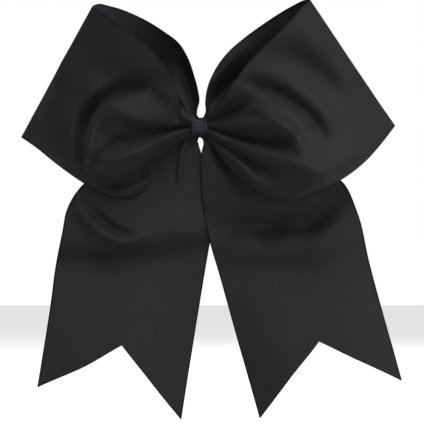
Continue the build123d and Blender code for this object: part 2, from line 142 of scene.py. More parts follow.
RIGHT_FRONT = [
    (0.00, [(2.5, -2.0, 3.8), (6.8, -8.1, 8.8), (11.4, -15.2, 13.9), (16.9, -21.2, 22.5),
     (26.0, -21.7, 34.1), (36.6, -19.7, 44.7), (45.7, -14.1, 53.8), (50.8, -7.6, 59.8),
     (54.8, 0.0, 63.6)]),
    (0.08, [(2.5, -3.0, 3.3), (8.8, -9.1, 7.8), (14.9, -15.7, 13.4), (22.0, -21.7, 21.0),
     (30.6, -21.7, 29.5), (40.7, -19.7, 39.6), (50.8, -14.1, 49.2), (54.8, -7.6, 55.3),
     (58.3, 0.0, 58.6)]),
    (0.18, [(2.5, -1.5, 2.8), (11.4, -7.1, 6.8), (19.4, -11.6, 10.9), (28.0, -17.2, 14.4),
     (35.6, -19.7, 22.0), (46.2, -19.7, 32.1), (55.8, -15.2, 40.7), (59.8, -8.1, 47.7),
     (62.7, 0.0, 52.3)]),
    (0.34, [(2.5, -2.5, 1.8), (15.4, -9.1, 2.8), (26.5, -18.2, 4.3), (37.6, -22.2, 5.8),
     (46.7, -22.7, 7.8), (54.3, -19.2, 14.4), (61.9, -16.2, 23.0), (66.4, -9.6, 33.6),
     (69.7, 0.0, 42.3)]),
    (0.45, [(2.5, -3.0, 0.8), (14.9, -9.6, -0.5), (26.5, -19.7, -1.8), (38.6, -24.2, -2.3),
     (49.2, -25.2, -0.8), (56.8, -22.7, 5.8), (64.9, -19.2, 14.9), (71.0, -12.1, 26.0),
     (74.5, 0.0, 35.4)]),
    (0.53, [(2.5, -1.5, 0.0), (14.4, -7.6, -2.8), (26.5, -17.7, -5.8), (38.6, -22.7, -7.8),
     (49.2, -24.2, -5.8), (57.3, -23.2, 0.3), (66.9, -20.2, 8.3), (74.0, -13.1, 19.9),
     (78.0, 0.0, 30.4)]),
    (0.68, [(2.5, -3.0, -0.8), (15.4, -9.1, -5.3), (28.5, -19.2, -9.8), (40.7, -24.7, -13.4),
     (51.8, -27.3, -14.4), (61.4, -25.8, -9.8), (72.5, -18.7, -2.3), (80.0, -10.1, 8.3),
     (84.7, 0.0, 20.9)]),
    (0.80, [(2.5, -2.5, -1.8), (13.4, -7.6, -8.3), (24.5, -18.7, -13.9), (36.6, -25.2, -18.4),
     (48.7, -29.3, -21.5), (61.9, -30.3, -18.4), (75.0, -22.2, -11.4), (84.1, -10.6, -0.3),
     (89.9, 0.0, 13.3)]),
    (0.87, [(2.5, -0.5, -2.5), (12.4, -4.0, -9.3), (21.5, -12.6, -15.4), (31.6, -18.2, -20.5),
     (42.7, -25.2, -26.5), (58.3, -30.3, -24.5), (76.0, -23.2, -16.4), (86.6, -10.1, -4.8),
     (93.0, 0.0, 8.9)]),
    (0.94, [(2.5, -1.0, -3.3), (10.4, -5.0, -11.4), (19.4, -10.1, -21.0), (29.5, -13.1, -28.0),
     (43.7, -15.2, -33.1), (57.8, -20.7, -30.0), (76.0, -17.7, -20.5), (89.1, -8.1, -8.3),
     (96.1, 0.0, 4.5)]),
    (1.00, [(1.8, 2.0, -4.3), (4.5, 1.0, -5.6), (7.8, -1.0, -10.9), (14.9, -2.0, -19.4),
     (24.5, -2.0, -29.5), (35.6, -1.5, -35.6), (45.7, -1.5, -37.1), (56.3, -7.1, -33.1),
     (72.0, -10.6, -26.0), (81.6, -8.1, -18.9), (91.2, -3.5, -8.8), (98.7, 0.0, 0.8)]),
]
RIGHT_BACK = [
    (0.00, [(-0.4, 4.5, 4.9), (2.2, 3.5, 5.4), (3.5, 3.0, 7.8), (3.0, 2.5, 11.9),
     (3.3, 3.0, 16.4), (5.3, 4.5, 24.0), (9.3, 6.1, 31.6), (15.4, 6.1, 39.1),
     (22.0, 5.6, 44.7), (30.6, 4.0, 50.8), (46.2, 2.0, 60.3), (52.3, 1.0, 63.1),
     (54.8, 0.0, 63.6)]),
    (0.09, [(-0.2, 2.5, 2.5), (4.0, 8.1, 8.8), (5.0, 9.1, 14.9), (7.1, 6.1, 22.0),
     (11.9, 4.0, 29.5), (18.9, 4.0, 37.1), (28.5, 5.0, 44.2), (42.7, 3.0, 51.8),
     (51.8, 2.0, 55.8), (58.7, 0.0, 58.0)]),
    (0.22, [(2.5, -0.5, 3.3), (5.8, 10.1, 9.8), (8.8, 15.2, 16.9), (14.4, 14.6, 24.0),
     (23.5, 11.6, 30.0), (36.6, 8.1, 37.1), (50.8, 4.0, 44.2), (64.4, 0.0, 49.8)]),
    (0.50, [(2.5, 0.0, 1.8), (11.4, 3.0, 7.8), (21.5, 7.1, 13.9), (34.6, 10.1, 17.9),
     (53.3, 8.1, 24.0), (67.9, 4.0, 28.0), (76.8, 0.0, 32.2)]),
    (0.80, [(2.5, 0.0, 0.3), (14.4, 3.0, 1.3), (27.5, 5.0, 0.8), (45.7, 6.6, 1.8),
     (66.9, 5.0, 5.8), (80.0, 2.5, 9.8), (89.9, 0.0, 13.3)]),
    (1.00, [(2.5, 0.0, -1.8), (16.9, 3.0, -5.3), (39.0, 4.5, -8.3), (60.9, 5.0, -9.8),
     (81.1, 4.0, -5.3), (92.2, 1.5, -2.3), (98.7, 0.0, 0.8)]),
]

# Strokes: ([(x, push along +Y, z)], width to the left of the path, width to its right);
# a width is one number, or several spread evenly along the path.
LEFT_STROKES = [
    ([(-19.4, 1.5, 24.0), (-27.0, 3.5, 22.5), (-35.1, 5.6, 20.7), (-43.2, 6.6, 17.2),
      (-49.7, 8.1, 12.9), (-54.8, 9.1, 7.3), (-57.8, 9.1, 0.8), (-59.1, 7.6, -7.3),
      (-59.6, 5.0, -14.4), (-59.3, 1.5, -21.5)], [5.0, 4.0, 3.0], [4.5, 3.8, 2.8]),
    ([(-29.0, -0.5, 15.4), (-38.1, -1.0, 13.9), (-46.2, -2.0, 9.8), (-51.3, -3.5, 4.3),
      (-54.3, -4.5, -2.3), (-56.1, -4.5, -9.8), (-56.8, -3.5, -16.4), (-57.3, -1.5, -22.5),
      (-57.8, 0.0, -27.5)], 3.0, 3.0),
    ([(-4.8, 0.5, 0.3), (-10.9, 2.0, -1.0), (-18.9, 3.0, -1.3), (-27.5, 3.5, -0.8),
      (-35.1, 3.0, 0.8), (-41.2, 2.0, 2.3), (-46.2, 0.5, 3.3)], [1.2, 3.4], [1.2, 3.4]),
    ([(-21.0, 0.5, -3.3), (-29.0, 1.5, -5.0), (-36.1, 3.0, -7.3), (-42.7, 3.5, -10.4),
      (-47.7, 3.5, -13.9), (-51.3, 2.5, -17.4), (-53.3, 0.0, -20.5)], 0.8, 3.2),
    ([(-6.8, -1.0, -1.8), (-13.9, -2.0, -4.5), (-22.5, -3.0, -8.6), (-31.1, -3.5, -12.1),
      (-40.1, -3.5, -15.2), (-47.2, -2.5, -18.2), (-51.8, -1.0, -21.5)], [1.5, 3.6], [1.5, 3.6]),
    ([(-5.8, 0.5, -2.3), (-11.4, 2.5, -4.3), (-17.7, 4.5, -7.8), (-23.0, 5.3, -11.9),
      (-26.3, 4.8, -16.2), (-28.0, 3.3, -20.5), (-29.5, 1.5, -24.5), (-31.1, 0.0, -28.0)],
     [1.9, 3.6], [1.9, 3.4]),
    ([(-17.9, 2.5, -13.4), (-24.5, 5.6, -18.4), (-31.6, 6.1, -23.0), (-39.1, 6.1, -26.0),
      (-47.2, 5.0, -27.0), (-53.8, 3.0, -25.5), (-57.8, 0.0, -22.5)], 4.6, 3.5),
    ([(-28.5, 0.0, -27.0), (-33.1, -0.8, -30.6), (-39.1, -0.8, -32.6), (-45.2, 0.0, -33.1)],
     2.4, 2.4),
    ([(-48.2, 0.0, 34.1), (-54.3, 1.0, 30.0), (-61.4, 2.0, 26.0), (-68.4, 2.5, 22.0),
      (-75.5, 2.5, 16.9), (-80.5, 1.5, 11.9)], 6.0, 6.0),
    ([(-7.8, 1.5, 21.0), (-9.3, 3.0, 15.9), (-10.6, 4.5, 11.4), (-11.4, 4.0, 7.3),
      (-11.9, 2.0, 4.3)], 2.2, 2.2),
]
RIGHT_STROKES = [
    ([(20.5, 1.0, 23.0), (27.5, 2.5, 21.5), (35.6, 4.0, 18.4), (43.2, 5.0, 14.4),
      (49.7, 5.0, 9.8), (55.3, 4.5, 4.8), (59.3, 3.5, -0.8), (62.4, 2.0, -6.3),
      (63.9, 0.0, -11.4)], 4.0, 4.0),
    ([(16.4, -0.5, 13.4), (24.5, -2.0, 10.9), (31.6, -3.5, 7.6), (38.1, -4.0, 3.8),
      (44.2, -4.5, -0.8), (48.2, -4.5, -5.8), (51.3, -3.5, -11.4), (56.3, -2.5, -16.9),
      (62.9, -1.5, -21.5), (71.0, -0.5, -23.5)], [3.0, 2.8, 5.0], [3.4, 5.0, 6.0]),
    ([(4.3, 0.5, 3.3), (9.3, 1.0, 5.3), (14.9, 2.0, 8.3), (21.0, 2.5, 10.6),
      (26.5, 1.5, 11.4), (30.6, 0.5, 10.9), (33.6, 0.0, 9.8)], [1.0, 2.6], [1.0, 2.6]),
    ([(4.3, 0.5, 0.3), (9.3, 1.5, -2.3), (15.4, 2.5, -4.5), (23.5, 2.8, -6.6),
      (31.6, 2.5, -8.1), (39.1, 2.0, -8.8), (45.2, 1.5, -7.8), (48.7, 1.3, -3.8),
      (48.7, 0.8, 0.3), (45.7, 0.0, 3.8)], [1.0, 2.6], [1.0, 2.6]),
    ([(6.3, -0.5, 1.3), (13.4, -1.5, 1.3), (21.5, -2.5, 1.3), (29.5, -3.0, 1.3),
      (37.6, -3.0, 0.8), (44.2, -1.5, -1.3)], [1.5, 3.8], [1.5, 3.8]),
    ([(6.3, -1.0, -2.3), (13.4, -2.0, -5.8), (21.5, -2.5, -9.3), (30.6, -2.5, -12.4),
      (40.7, -2.5, -15.4), (50.8, -3.0, -19.9), (61.9, -2.0, -24.5)], [1.5, 3.8], [1.5, 3.8]),
    ([(5.3, 0.5, -3.3), (10.4, 0.8, -7.3), (16.4, 1.3, -11.9), (23.0, 1.8, -15.7),
      (30.0, 2.0, -18.7), (37.1, 2.0, -21.2), (43.7, 1.5, -24.0), (49.7, 1.0, -27.0),
      (55.8, 0.0, -30.0)], 0.8, 2.6),
    ([(6.8, -1.0, -5.3), (13.4, -2.5, -11.9), (20.5, -3.5, -19.4), (28.0, -4.0, -26.5),
      (35.6, -4.0, -31.1), (43.2, -4.0, -33.6), (49.7, -3.0, -33.6), (54.3, -1.0, -31.6)],
     2.2, 2.2),
    ([(13.4, 1.5, -17.9), (18.4, 3.0, -24.5), (24.0, 4.0, -30.0), (30.0, 5.0, -34.6),
      (37.1, 5.0, -37.6), (45.7, 4.0, -38.6), (51.8, 2.0, -36.1), (55.3, 0.0, -33.1)],
     2.2, 2.2),
    ([(28.5, 0.5, 32.1), (37.6, 2.5, 34.1), (47.7, 4.5, 33.1), (56.3, 5.6, 28.5),
      (63.4, 5.6, 22.0), (68.4, 4.0, 14.4), (71.5, 1.5, 5.8)], 8.0, 8.0),
]
# Leans of the outer fold: (place across the ribbon, millimetres forward).
LEFT_LEAN = [(0, 0), (0.4, 0), (0.7, -4), (1, -10)]
RIGHT_LEAN = [(0, 26), (0.2, 20), (0.45, 10), (0.7, 2), (1, 0)]

# ------------------------------------------------------------------ tail tables
# Rays as for the loops, but from the knot to past the tips.
LEFT_TAIL = [      # from the outer selvedge to the inner one
    (0.00, [(-4.8, 2.0, -2.8), (-17.4, 6.1, -7.3), (-35.1, 9.1, -14.4), (-51.3, 9.1, -22.5),
     (-60.9, 8.6, -30.6), (-67.4, 10.1, -41.7), (-69.7, 10.6, -52.8), (-71.5, 14.6, -60.9),
     (-73.0, 17.2, -67.9), (-75.5, 16.7, -87.1), (-82.6, 16.7, -132.1), (-85.1, 16.7, -148.2)]),
    (0.25, [(-3.8, 2.5, -3.3), (-13.9, 5.6, -11.4), (-25.0, 8.1, -22.5), (-36.1, 8.1, -34.1),
     (-43.7, 7.1, -44.7), (-47.2, 7.6, -53.8), (-49.2, 12.1, -61.9), (-50.8, 15.7, -68.9),
     (-54.3, 14.6, -90.1), (-58.3, 13.1, -109.8), (-64.2, 13.1, -136.1), (-67.4, 13.1, -154.8)]),
    (0.50, [(-3.3, 3.5, -3.5), (-9.3, 4.5, -12.9), (-16.4, 6.1, -26.5), (-22.5, 7.1, -39.1),
     (-26.5, 7.1, -49.7), (-28.3, 8.1, -55.8), (-30.6, 12.6, -63.4), (-32.1, 15.2, -69.4),
     (-36.6, 13.6, -93.2), (-40.7, 11.6, -112.4), (-46.0, 12.1, -140.1), (-48.7, 12.1, -157.8)]),
    (0.75, [(0.0, 2.5, -3.0), (-4.8, 3.5, -13.9), (-6.8, 6.1, -28.5), (-8.3, 7.1, -40.7),
     (-9.8, 7.1, -47.7), (-10.9, 8.1, -53.3), (-11.9, 12.1, -59.8), (-13.4, 14.6, -65.9),
     (-17.9, 13.6, -97.2), (-22.5, 11.6, -118.4), (-27.7, 11.1, -144.2), (-30.0, 11.1, -161.9)]),
    (1.00, [(0.6, 2.5, -4.7), (-1.2, 2.0, -5.9), (-0.6, 2.5, -8.3), (0.8, 4.0, -12.4),
     (3.3, 6.6, -22.5), (5.8, 8.6, -36.6), (6.8, 10.1, -49.7), (4.8, 12.6, -60.9),
     (-2.3, 11.6, -103.8), (-9.3, 9.6, -148.2), (-11.9, 9.1, -165.4)]),
]
RIGHT_TAIL = [     # from the inner selvedge to the outer one
    (0.00, [(-0.5, 1.0, -4.8), (2.2, 1.0, -6.1), (2.2, 1.3, -7.8), (1.2, 2.0, -11.9),
     (1.0, 4.5, -26.5), (2.8, 8.6, -46.7), (5.3, 9.1, -58.3), (9.3, 10.6, -72.0),
     (17.9, 10.1, -102.8), (30.6, 10.1, -147.7), (35.6, 10.1, -165.9)]),
    (0.25, [(0.3, 0.5, -3.0), (6.8, 1.0, -15.4), (11.4, 3.5, -29.5), (14.9, 4.0, -39.1),
     (16.4, 5.6, -43.2), (18.9, 10.1, -49.7), (22.0, 4.5, -58.3), (25.0, 6.1, -65.4),
     (27.0, 8.6, -69.9), (31.6, 6.8, -87.1), (38.1, 4.8, -107.3), (48.7, 3.5, -142.7),
     (53.3, 3.5, -160.8)]),
    (0.50, [(3.5, 2.0, -3.3), (12.4, 3.0, -14.4), (23.5, 4.0, -27.5), (31.6, 4.5, -38.1),
     (34.6, 6.1, -43.2), (38.1, 11.1, -49.7), (42.7, 4.0, -58.3), (45.7, 6.1, -64.9),
     (47.7, 8.8, -69.4), (53.8, 6.6, -87.1), (58.8, 4.0, -104.8), (66.7, 3.0, -138.1),
     (71.0, 3.0, -156.3)]),
    (0.75, [(4.3, 0.0, -3.0), (18.4, 2.5, -12.4), (36.6, 3.5, -24.5), (48.7, 3.5, -34.1),
     (53.3, 5.3, -40.1), (57.3, 11.1, -47.2), (61.4, 4.5, -55.8), (63.9, 6.1, -62.4),
     (65.4, 8.8, -67.4), (71.0, 7.1, -85.1), (76.0, 5.3, -102.8), (84.6, 4.5, -133.3),
     (89.1, 4.5, -151.8)]),
    (1.00, [(4.8, 1.0, -2.8), (20.5, 3.0, -7.8), (40.7, 4.0, -14.4), (59.8, 5.0, -20.5),
     (72.0, 6.1, -27.0), (80.0, 9.1, -42.7), (86.1, 10.6, -67.9), (102.8, 10.6, -128.5),
     (107.8, 10.6, -146.7)]),
]
LEFT_TAIL_STROKES = [
    ([(-58.3, 0.5, -37.6), (-54.3, 1.0, -42.2), (-49.2, 1.8, -46.7), (-44.2, 1.8, -50.8),
      (-38.6, 1.3, -53.3), (-33.1, 0.0, -54.8)], 2.4, 2.4),
    ([(-62.4, -0.5, -39.6), (-58.3, -1.5, -45.7), (-52.3, -2.0, -51.3), (-45.2, -2.3, -55.8),
      (-37.1, -2.0, -57.8), (-29.0, -1.0, -55.8), (-21.0, 0.0, -52.8)], 2.8, 2.8),
    ([(-6.8, -1.5, -6.3), (-8.8, -2.0, -12.4), (-9.8, -1.5, -20.5), (-10.4, -0.5, -29.5)],
     1.5, 1.5),
    ([(-72.5, 2.0, -67.9), (-60.3, 2.5, -68.4), (-48.7, 2.5, -68.4), (-36.6, 2.0, -67.9),
      (-25.0, 2.0, -66.4), (-9.8, 1.5, -63.9), (3.3, 1.5, -60.9)], 5.4, 5.4),
]
RIGHT_TAIL_STROKES = [
    ([(8.3, 2.0, -11.4), (12.4, 2.5, -17.9), (18.4, 1.5, -25.5), (23.5, 0.0, -31.6)], 3.0, 3.0),
]
# The swallow-tail cut, (x, z): first selvedge, notch in mid ribbon, last selvedge.
LEFT_CUT = [(-82.6, -132.1), (-41.9, -109.8), (-9.3, -148.2)]
RIGHT_CUT = [(30.6, -147.7), (59.3, -108.8), (102.8, -128.5)]


# ------------------------------------------------------------------ curves and nets
def hermite(knots, values, at):
    """Cubic through values[i] at knots[i], non-uniform Catmull-Rom slopes, evaluated at `at`."""
    knots, values, at = (np.asarray(a, float) for a in (knots, values, at))
    column = (-1,) + (1,) * (values.ndim - 1)
    gap = (knots[1:] - knots[:-1]).reshape(column)
    chord = (values[1:] - values[:-1]) / gap
    slope = np.empty_like(values)
    slope[1:-1] = (chord[:-1] * gap[1:] + chord[1:] * gap[:-1]) / (gap[1:] + gap[:-1])
    slope[0] = chord[0] * 1.5 - slope[1] * 0.5
    slope[-1] = chord[-1] * 1.5 - slope[-2] * 0.5
    k = np.clip(np.searchsorted(knots, at, side="right") - 1, 0, len(knots) - 2)
    span = gap[k]
    u = (at - knots[k]).reshape(column) / span
    return (
        (2 * u**3 - 3 * u**2 + 1) * values[k] + (u**3 - 2 * u**2 + u) * span * slope[k]
        + (-2 * u**3 + 3 * u**2) * values[k + 1] + (u**3 - u**2) * span * slope[k + 1]
    )


def arc_lengths(points):
    steps = np.linalg.norm(np.diff(points, axis=0), axis=1)
    return np.concatenate([[0], np.cumsum(steps)])


def spline(points, places):
    """Smooth curve through points, sampled at places 0..1 of its length."""
    points = np.asarray(points, float)
    chords = arc_lengths(points)
    fine = hermite(chords, points, np.linspace(0, chords[-1], 600))
    arc = arc_lengths(fine)
    arc /= arc[-1]
    return np.stack([np.interp(places, arc, fine[:, axis]) for axis in range(3)], axis=1)


def net(rays, rows, count):
    """Surface through lengthwise rays -> [rows, count, 3] in mm."""
    lines = np.stack([spline(points, np.linspace(0, 1, rows)) for _, points in rays])
    places = [place for place, _ in rays]
    return hermite(places, lines, np.linspace(0, 1, count)).transpose(1, 0, 2)


def upsample(grid, rows, cols):
    """Cubic resample of a net to evenly spaced rows and the given places across."""
    longer = hermite(np.linspace(0, 1, grid.shape[0]), grid, np.linspace(0, 1, rows))
    across = np.linspace(0, 1, grid.shape[1])
    return hermite(across, longer.transpose(1, 0, 2), cols).transpose(1, 0, 2)


def sculpt(grid, strokes):
    """Presses creases into a sheet and lifts ridges off it, in place. Each stroke's push fades
    over its widths to either side, as seen from the front."""
    x, z = grid[..., 0], grid[..., 2]
    push = np.zeros_like(x)
    for points, left_width, right_width in strokes:
        along = np.linspace(0, 1, len(points) * 6)
        path = hermite(np.arange(len(points)), points, along * (len(points) - 1))
        left, right = (np.interp(along, np.linspace(0, 1, np.size(w)), np.atleast_1d(w))
                       for w in (left_width, right_width))
        nearest = np.full(x.shape, 1e9)
        depth = np.zeros_like(x)
        for i in range(len(path) - 1):
            start_x, start_push, start_z = path[i]
            step_x, step_push, step_z = path[i + 1] - path[i]
            square = max(step_x * step_x + step_z * step_z, 1e-9)
            u = np.clip(((x - start_x) * step_x + (z - start_z) * step_z) / square, 0, 1)
            off_x, off_z = x - (start_x + u * step_x), z - (start_z + u * step_z)
            distance = np.hypot(off_x, off_z)
            on_left = step_x * off_z - step_z * off_x > 0
            width = np.where(on_left, left[i] + (left[i + 1] - left[i]) * u,
                             right[i] + (right[i + 1] - right[i]) * u)
            closer = distance < nearest
            nearest = np.where(closer, distance, nearest)
            local = (start_push + step_push * u) * np.exp(-((distance / width) ** 2))
            depth = np.where(closer, local, depth)
        push += depth * FOLD
    grid[..., 1] += push


def lean(grid, offsets):
    """Leans the outer fold forward (positive) or back, by its place across the ribbon."""
    reach = 1 - np.abs(np.linspace(-1, 1, len(grid)))
    places, forward = zip(*offsets)
    push = hermite(places, forward, np.linspace(0, 1, grid.shape[1]))
    grid[..., 1] -= (reach**2)[:, None] * push[None, :]


# ------------------------------------------------------------------ meshes
def columns(edge, inset, count):
    """Places 0..1 across a ribbon: a fine selvedge at each side, count even ones between."""
    edge = np.array(edge)
    return np.concatenate([edge, np.linspace(inset, 1 - inset, count), 1 - edge[::-1]])


def ribbon_columns(count):
    return columns(np.array([0.0, 0.35, 0.9]) / RIBBON_W, 1.9 / RIBBON_W, count)


def link_object(name, mesh):
    piece = bpy.data.objects.new(name, mesh)
    bpy.context.scene.collection.objects.link(piece)
    return piece


def sheet_mesh(name, grid, length, cols, cut_at=None, width=RIBBON_W, thick=THICK,
               rib=RIB_AMP, pitch=RIB_PITCH):
    """A woven ribbon of real thickness from a fine grid in mm; ribs stand on both faces.
    cut_at gives the length at which each place across is cut off."""
    rows, count, _ = grid.shape
    normal = np.cross(np.gradient(grid, axis=0), np.gradient(grid, axis=1))
    normal /= np.maximum(np.linalg.norm(normal, axis=-1, keepdims=True), 1e-9)
    along, across = np.meshgrid(np.linspace(0, length, rows), cols, indexing="ij")
    from_edge = np.minimum(across, 1 - across) * width
    fade = np.clip((from_edge - 0.2) / 0.7, 0, 1)
    ribs = rib * np.sin(2 * np.pi * along / pitch) * fade
    bead = 0.3 * rib * np.exp(-((from_edge - 0.3) / 0.35) ** 2)
    half = thick / 2 * np.where(from_edge < 0.05, 0.35, 1.0)
    top = grid + normal * (half + ribs + bead)[..., None]
    bottom = grid - normal * (half - ribs + bead)[..., None]

    # Points past the cut collapse onto the cut point of their column.
    total = rows * count
    index = np.arange(total).reshape(rows, count)
    if cut_at is not None:
        for j in range(count):
            row = cut_at(cols[j]) / length * (rows - 1)
            i = min(int(math.ceil(row)), rows - 1)
            for side in (top, bottom):
                side[i, j] = side[i - 1, j] + (side[i, j] - side[i - 1, j]) * (row - (i - 1))
            index[i:, j] = index[i, j]

    corners = np.stack([index[:-1, :-1], index[1:, :-1], index[1:, 1:], index[:-1, 1:]], -1)
    faces = [tuple(dict.fromkeys(quad)) for quad in corners.reshape(-1, 4).tolist()]
    faces = [face for face in faces if len(face) >= 3]
    under = [tuple(total + k for k in reversed(face)) for face in faces]
    border = {}
    for face in faces:
        for start, end in zip(face, face[1:] + face[:1]):
            if (end, start) in border:
                del border[(end, start)]
            else:
                border[(start, end)] = True
    rim = [(end, start, total + start, total + end) for start, end in border]

    verts = np.concatenate([top.reshape(-1, 3), bottom.reshape(-1, 3)]) * MM
    mesh = bpy.data.meshes.new(name)
    mesh.from_pydata(verts.tolist(), [], faces + under + rim)
    layer = mesh.uv_layers.new(name="UVMap")
    loops = np.empty(len(mesh.loops), dtype=np.int32)
    mesh.loops.foreach_get("vertex_index", loops)
    coords = np.stack([along.reshape(-1), across.reshape(-1) * width], -1) / UV_MM
    coords = np.concatenate([coords, coords])
    layer.data.foreach_set("uv", coords[loops].astype(np.float32).reshape(-1))
    smooth = [True] * (2 * len(faces)) + [False] * len(rim)
    mesh.polygons.foreach_set("use_smooth", smooth)
    mesh.validate()
    # Drop points no face uses.
    bm = bmesh.new()
    bm.from_mesh(mesh)
    loose = [vert for vert in bm.verts if not vert.link_faces]
    bmesh.ops.delete(bm, geom=loose, context="VERTS")
    bm.normal_update()
    bm.to_mesh(mesh)
    bm.free()
    return link_object(name, mesh)


def grid_mesh(name, grid, uv, ring=False):
    """Tube over a [u, v, 3] grid in mm, closed round v; u is closed into a ring or capped."""
    rows, count, _ = grid.shape
    faces, coords = [], []
    for i in range(rows if ring else rows - 1):
        for j in range(count):
            next_i, next_j = (i + 1) % rows, (j + 1) % count
            faces.append((i * count + j, next_i * count + j,
                          next_i * count + next_j, i * count + next_j))
            coords += [uv[i, j], uv[i + 1, j], uv[i + 1, j + 1], uv[i, j + 1]]
    if not ring:
        for i, order in ((0, range(count - 1, -1, -1)), (rows - 1, range(count))):
            faces.append(tuple(i * count + j for j in order))
            coords += [uv[i, j] for j in order]
    mesh = bpy.data.meshes.new(name)
    mesh.from_pydata((grid.reshape(-1, 3) * MM).tolist(), [], faces)
    layer = mesh.uv_layers.new(name="UVMap")
    layer.data.foreach_set("uv", (np.array(coords) / UV_MM).astype(np.float32).reshape(-1))
    mesh.polygons.foreach_set("use_smooth", [True] * len(mesh.polygons))
    bm = bmesh.new()
    bm.from_mesh(mesh)
    bmesh.ops.recalc_face_normals(bm, faces=bm.faces)
    bm.to_mesh(mesh)
    bm.free()
    return link_object(name, mesh)


def uv_grid(lengths, widths):
    return np.stack(np.meshgrid(lengths, widths, indexing="ij"), -1)


def oval(angle, half_a, half_b, power):
    """Superellipse: power 2 is an ellipse, higher is squarer."""
    c, s = np.cos(angle), np.sin(angle)
    return (np.sign(c) * np.abs(c) ** (2 / power) * half_a,
            np.sign(s) * np.abs(s) ** (2 / power) * half_b)


def tube(name, path, radius, sides, twist=0.0, strands=0, depth=0.0):
    """Round wire or thread along a path in mm; strands twist round it as raised lobes."""
    tangents = np.gradient(path, axis=0)
    tangents /= np.linalg.norm(tangents, axis=1, keepdims=True)
    normal = np.cross(tangents[0], (0.0, 0.0, 1.0))
    arc = arc_lengths(path)
    angles = np.linspace(0, 2 * np.pi, sides + 1)
    turn = angles[:-1]
    grid = np.empty((len(path), sides, 3))
    for i, tangent in enumerate(tangents):
        normal = normal - tangent * np.dot(normal, tangent)
        normal = normal / np.linalg.norm(normal)
        r = radius * (1 + depth * np.cos(strands * turn - twist * arc[i]))
        grid[i] = (path[i] + np.outer(np.cos(turn) * r, normal)
                   + np.outer(np.sin(turn) * r, np.cross(tangent, normal)))
    return grid_mesh(name, grid, uv_grid(arc, angles * radius))


def mm_box(node):
    low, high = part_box(node)
    return np.array(low) / MM, np.array(high) / MM


def dress(piece, material, slot, *nodes):
    piece.data.materials.append(material)
    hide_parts(*nodes)


# ------------------------------------------------------------------ materials
class Nodes:
    """Short ways to add nodes to a tree; an input is fed by a socket or a plain value."""

    def __init__(self, tree):
        self.tree = tree

    def add(self, kind, inputs=None, **settings):
        node = self.tree.nodes.new("ShaderNode" + kind)
        for key, value in settings.items():
            setattr(node, key, value)
        self.feed(node, inputs or {})
        return node

    def feed(self, node, inputs):
        for key, value in inputs.items():
            if isinstance(value, bpy.types.NodeSocket):
                self.tree.links.new(value, node.inputs[key])
            else:
                node.inputs[key].default_value = value

    def math(self, operation, *values, clamp=False):
        inputs = dict(enumerate(values))
        return self.add("Math", inputs, operation=operation, use_clamp=clamp).outputs[0]

    def scaled(self, value, gain, plus, clamp=False):
        return self.math("MULTIPLY_ADD", value, gain, plus, clamp=clamp)

    def wave(self, value, frequency):
        """Sine of value * frequency, brought into 0..1."""
        sine = self.math("SINE", self.scaled(value, gain=frequency, plus=0.0))
        return self.scaled(sine, gain=0.5, plus=0.5)

    def noise(self, vector, scale, detail):
        inputs = {"Scale": scale, "Detail": detail, "Vector": vector}
        return self.add("TexNoise", inputs).outputs["Fac"]

    def colours(self, factor, dark, light):
        inputs = {"A": (*dark, 1), "B": (*light, 1), "Factor": factor}
        return self.add("Mix", inputs, data_type="RGBA").outputs["Result"]

    def bump(self, height, strength, distance):
        inputs = {"Strength": strength, "Distance": distance, "Height": height}
        return self.add("Bump", inputs).outputs[0]


def new_material(name):
    material = bpy.data.materials.new(name)
    material.use_nodes = True
    material.node_tree.nodes.clear()
    nodes = Nodes(material.node_tree)
    output = nodes.add("OutputMaterial")
    surface = nodes.add("BsdfPrincipled")
    nodes.feed(output, {0: surface.outputs[0]})
    return material, nodes, surface


def grosgrain(name, dark, light, pitch=RIB_PITCH, sheen=0.25, rough=0.72, selvedge_of=None):
    """Cross-ribbed ribbon: rib crests are painted lighter as a painted highlight, fine warp
    threads break each rib up.
    selvedge_of is the ribbon width whose edges are darkened with painted shade."""
    warp_pitch = 0.42
    specular = 0.32
    material, nodes, surface = new_material(name)
    uv = nodes.add("UVMap", uv_map="UVMap").outputs[0]
    place = nodes.add("SeparateXYZ", {0: uv})
    rib = nodes.wave(place.outputs[0], frequency=2 * math.pi * UV_MM / pitch)
    warp = nodes.wave(place.outputs[1], frequency=2 * math.pi * UV_MM / warp_pitch)
    cloud = nodes.noise(uv, scale=38.0, detail=3.0)
    fibre = nodes.noise(uv, scale=900.0, detail=2.0)
    # Painted highlight: the base colour is lighter on each rib crest, where the rib would catch
    # the light.
    factor = nodes.scaled(rib, gain=0.42, plus=0.08)
    factor = nodes.scaled(cloud, gain=0.3, plus=factor)
    factor = nodes.scaled(fibre, gain=0.22, plus=factor)
    colour = nodes.colours(factor, dark, light)
    nodes.feed(surface, {"Specular IOR Level": specular})
    if selvedge_of is not None:
        # Painted shade: colour and specular level are dimmed along both selvedges, so the ribbon
        # edges show less light.
        middle = selvedge_of / 2 / UV_MM
        offset = nodes.math("SUBTRACT", place.outputs[1], middle)
        edge = nodes.add("MapRange", {
            "Value": nodes.math("ABSOLUTE", offset),
            "From Min": middle - 0.009, "From Max": middle - 0.004,
            "To Min": 1.0, "To Max": 0.3,
        }).outputs["Result"]
        colour = nodes.add("VectorMath", {0: colour, "Scale": edge}, operation="SCALE").outputs[0]
        nodes.feed(surface, {"Specular IOR Level": nodes.math("MULTIPLY", edge, specular)})
    # Height: warp threads riding over each rib.
    height = nodes.scaled(fibre, gain=0.6, plus=nodes.math("MULTIPLY", rib, warp))
    nodes.feed(surface, {
        "Base Color": colour,
        "Normal": nodes.bump(height, strength=0.55, distance=0.00006),
        "Roughness": nodes.scaled(fibre, gain=0.16, plus=rough - 0.08),
        "Sheen Weight": sheen,
        "Sheen Roughness": 0.45,
        "Sheen Tint": (0.8, 0.82, 0.9, 1),
    })
    return material


